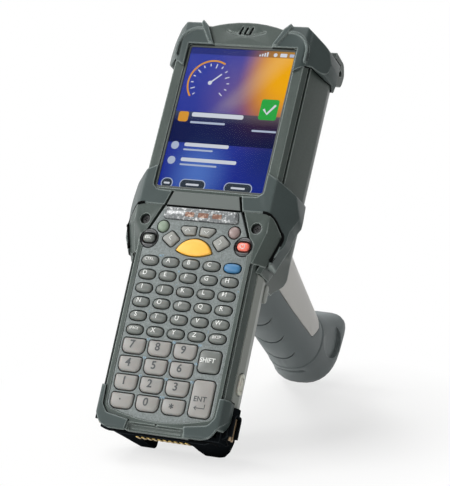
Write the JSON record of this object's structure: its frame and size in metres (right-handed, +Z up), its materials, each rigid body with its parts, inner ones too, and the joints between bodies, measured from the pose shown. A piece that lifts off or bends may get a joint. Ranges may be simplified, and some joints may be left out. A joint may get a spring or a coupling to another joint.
{
  "type": "portable barcode data terminal",
  "caption": "Rugged handheld data terminal with a pistol handle: touch display head, keypad half, scan window in the nose, trigger, battery in the back and a charging base.",
  "frame": {"origin": "middle of the overall box's base, on the surface that the two hooks and the handle's heel stand on", "axes": "+X to the right of someone facing the display, +Y away from the display's front, +Z up; the terminal leans back on its handle"},
  "size_m": [0.0906, 0.2028, 0.2022],
  "materials": {
    "case_dark": "fine matte",
    "name_plate": "satin",
    "bumper_rubber": "soft matte",
    "gasket_rubber": "matte",
    "touch_glass": "clear gloss",
    "lcd_face": "gloss",
    "lens_plastic": "satin translucent",
    "keypad_plastic": "fine matte",
    "mat_rubber": "matte",
    "side_plastic": "satin",
    "base_black": "semi gloss",
    "contact_gold": "polished",
    "contact_bronze": "satin",
    "screw_black": "black oxide",
    "board_green": "satin",
    "inner_black": "matte",
    "engine_metal": "satin",
    "scan_glass": "clear gloss",
    "handle_grey": "satin",
    "grip_rubber": "soft matte",
    "foot_plastic": "matte",
    "trigger_plastic": "satin",
    "pin_steel": "ground",
    "battery_black": "fine matte",
    "release_ivory": "satin",
    "key_red": "satin",
    "key_orange": "satin",
    "key_green": "satin",
    "key_rose": "satin",
    "key_blue": "satin",
    "key_light": "satin",
    "key_grey": "satin"
  },
  "bodies": {
    "root": {"display_bezel": "case_dark", "head_housing": "case_dark", "nose_cap": "case_dark", "top_bumper_left": "bumper_rubber", "top_bumper_right": "bumper_rubber", "shoulder_bumper_left": "bumper_rubber", "shoulder_bumper_right": "bumper_rubber", "display_gasket": "gasket_rubber", "touch_panel": "touch_glass", "lcd_module": "lcd_face", "name_bar": "name_plate", "led_lens": "lens_plastic", "keypad_bezel": "keypad_plastic", "keypad_plate": "keypad_plastic", "key_mat": "mat_rubber", "lower_housing": "side_plastic", "bottom_bumper_left": "bumper_rubber", "bottom_bumper_right": "bumper_rubber", "connector_base": "base_black", "contact_pins": "contact_gold", "side_contacts": "contact_bronze", "case_screws": "screw_black", "main_board": "board_green", "speaker": "inner_black", "microphone": "inner_black", "scan_engine": "engine_metal", "scan_window": "scan_glass", "handle_shell": "handle_grey", "handle_grip": "grip_rubber", "handle_foot": "foot_plastic", "trigger_pin": "pin_steel", "trigger_switch": "inner_black", "trigger_spring": "pin_steel"},
    "trigger": {"trigger": "trigger_plastic"},
    "battery": {"battery_pack": "battery_black"},
    "release_left": {"release_left": "release_ivory"},
    "release_right": {"release_right": "release_ivory"},
    "power_key": {"power_key": "key_red"},
    "esc_key": {"esc_key": "key_grey"},
    "scan_key": {"scan_key": "key_orange"},
    "talk_key": {"talk_key": "key_green"},
    "end_key": {"end_key": "key_rose"},
    "nav_left_key": {"nav_left_key": "key_grey"},
    "nav_up_key": {"nav_up_key": "key_grey"},
    "nav_down_key": {"nav_down_key": "key_grey"},
    "nav_right_key": {"nav_right_key": "key_grey"},
    "blue_key": {"blue_key": "key_blue"},
    "shift_key": {"shift_key": "key_grey"},
    "enter_key": {"enter_key": "key_light"},
    "digit_keys_1": {"digit_keys_1": "key_light"},
    "digit_keys_2": {"digit_keys_2": "key_light"},
    "digit_keys_3": {"digit_keys_3": "key_light"},
    "digit_keys_4": {"digit_keys_4": "key_light"},
    "letter_keys_1": {"letter_keys_1": "key_grey"},
    "letter_keys_2": {"letter_keys_2": "key_grey"},
    "letter_keys_3": {"letter_keys_3": "key_grey"},
    "letter_keys_4": {"letter_keys_4": "key_grey"},
    "letter_keys_5": {"letter_keys_5": "key_grey"},
    "letter_keys_6": {"letter_keys_6": "key_grey"}
  },
  "joints": [
    {"name": "trigger_pull", "type": "hinge", "parent": "root", "child": "trigger", "pos_m": [0, 0.01027, 0.10793], "axis": [-1, 0, 0], "range_deg": [0, 9], "stiffness_Nm_per_rad": 0.25, "springref_deg": -6.88},
    {"name": "battery_out", "type": "slide", "parent": "root", "child": "battery", "axis": [0, 0.8841, -0.4673], "range_m": [0, 0.018]},
    {"name": "release_left_press", "type": "slide", "parent": "root", "child": "release_left", "axis": [1, 0, 0], "range_m": [0, 0.0016], "stiffness_N_per_m": 400, "springref_m": -0.0006},
    {"name": "release_right_press", "type": "slide", "parent": "root", "child": "release_right", "axis": [-1, 0, 0], "range_m": [0, 0.0016], "stiffness_N_per_m": 400, "springref_m": -0.0006},
    {"name": "power_key_press", "type": "slide", "parent": "root", "child": "power_key", "axis": [0, 0.8841, -0.4673], "range_m": [0, 0.001], "stiffness_N_per_m": 250, "springref_m": -0.0006},
    {"name": "esc_key_press", "type": "slide", "parent": "root", "child": "esc_key", "axis": [0, 0.8841, -0.4673], "range_m": [0, 0.001], "stiffness_N_per_m": 250, "springref_m": -0.0006},
    {"name": "scan_key_press", "type": "slide", "parent": "root", "child": "scan_key", "axis": [0, 0.8841, -0.4673], "range_m": [0, 0.001], "stiffness_N_per_m": 250, "springref_m": -0.0006},
    {"name": "talk_key_press", "type": "slide", "parent": "root", "child": "talk_key", "axis": [0, 0.8841, -0.4673], "range_m": [0, 0.001], "stiffness_N_per_m": 250, "springref_m": -0.0006},
    {"name": "end_key_press", "type": "slide", "parent": "root", "child": "end_key", "axis": [0, 0.8841, -0.4673], "range_m": [0, 0.001], "stiffness_N_per_m": 250, "springref_m": -0.0006},
    {"name": "nav_left_key_press", "type": "slide", "parent": "root", "child": "nav_left_key", "axis": [0, 0.8841, -0.4673], "range_m": [0, 0.001], "stiffness_N_per_m": 250, "springref_m": -0.0006},
    {"name": "nav_up_key_press", "type": "slide", "parent": "root", "child": "nav_up_key", "axis": [0, 0.8841, -0.4673], "range_m": [0, 0.001], "stiffness_N_per_m": 250, "springref_m": -0.0006},
    {"name": "nav_down_key_press", "type": "slide", "parent": "root", "child": "nav_down_key", "axis": [0, 0.8841, -0.4673], "range_m": [0, 0.001], "stiffness_N_per_m": 250, "springref_m": -0.0006},
    {"name": "nav_right_key_press", "type": "slide", "parent": "root", "child": "nav_right_key", "axis": [0, 0.8841, -0.4673], "range_m": [0, 0.001], "stiffness_N_per_m": 250, "springref_m": -0.0006},
    {"name": "blue_key_press", "type": "slide", "parent": "root", "child": "blue_key", "axis": [0, 0.8841, -0.4673], "range_m": [0, 0.001], "stiffness_N_per_m": 250, "springref_m": -0.0006},
    {"name": "shift_key_press", "type": "slide", "parent": "root", "child": "shift_key", "axis": [0, 0.8841, -0.4673], "range_m": [0, 0.001], "stiffness_N_per_m": 250, "springref_m": -0.0006},
    {"name": "enter_key_press", "type": "slide", "parent": "root", "child": "enter_key", "axis": [0, 0.8841, -0.4673], "range_m": [0, 0.001], "stiffness_N_per_m": 250, "springref_m": -0.0006},
    {"name": "digit_keys_1_press", "type": "slide", "parent": "root", "child": "digit_keys_1", "axis": [0, 0.8841, -0.4673], "range_m": [0, 0.001], "stiffness_N_per_m": 250, "springref_m": -0.0006},
    {"name": "digit_keys_2_press", "type": "slide", "parent": "root", "child": "digit_keys_2", "axis": [0, 0.8841, -0.4673], "range_m": [0, 0.001], "stiffness_N_per_m": 250, "springref_m": -0.0006},
    {"name": "digit_keys_3_press", "type": "slide", "parent": "root", "child": "digit_keys_3", "axis": [0, 0.8841, -0.4673], "range_m": [0, 0.001], "stiffness_N_per_m": 250, "springref_m": -0.0006},
    {"name": "digit_keys_4_press", "type": "slide", "parent": "root", "child": "digit_keys_4", "axis": [0, 0.8841, -0.4673], "range_m": [0, 0.001], "stiffness_N_per_m": 250, "springref_m": -0.0006},
    {"name": "letter_keys_1_press", "type": "slide", "parent": "root", "child": "letter_keys_1", "axis": [0, 0.8841, -0.4673], "range_m": [0, 0.001], "stiffness_N_per_m": 250, "springref_m": -0.0006},
    {"name": "letter_keys_2_press", "type": "slide", "parent": "root", "child": "letter_keys_2", "axis": [0, 0.8841, -0.4673], "range_m": [0, 0.001], "stiffness_N_per_m": 250, "springref_m": -0.0006},
    {"name": "letter_keys_3_press", "type": "slide", "parent": "root", "child": "letter_keys_3", "axis": [0, 0.8841, -0.4673], "range_m": [0, 0.001], "stiffness_N_per_m": 250, "springref_m": -0.0006},
    {"name": "letter_keys_4_press", "type": "slide", "parent": "root", "child": "letter_keys_4", "axis": [0, 0.8841, -0.4673], "range_m": [0, 0.001], "stiffness_N_per_m": 250, "springref_m": -0.0006},
    {"name": "letter_keys_5_press", "type": "slide", "parent": "root", "child": "letter_keys_5", "axis": [0, 0.8841, -0.4673], "range_m": [0, 0.001], "stiffness_N_per_m": 250, "springref_m": -0.0006},
    {"name": "letter_keys_6_press", "type": "slide", "parent": "root", "child": "letter_keys_6", "axis": [0, 0.8841, -0.4673], "range_m": [0, 0.001], "stiffness_N_per_m": 250, "springref_m": -0.0006}
  ]
}
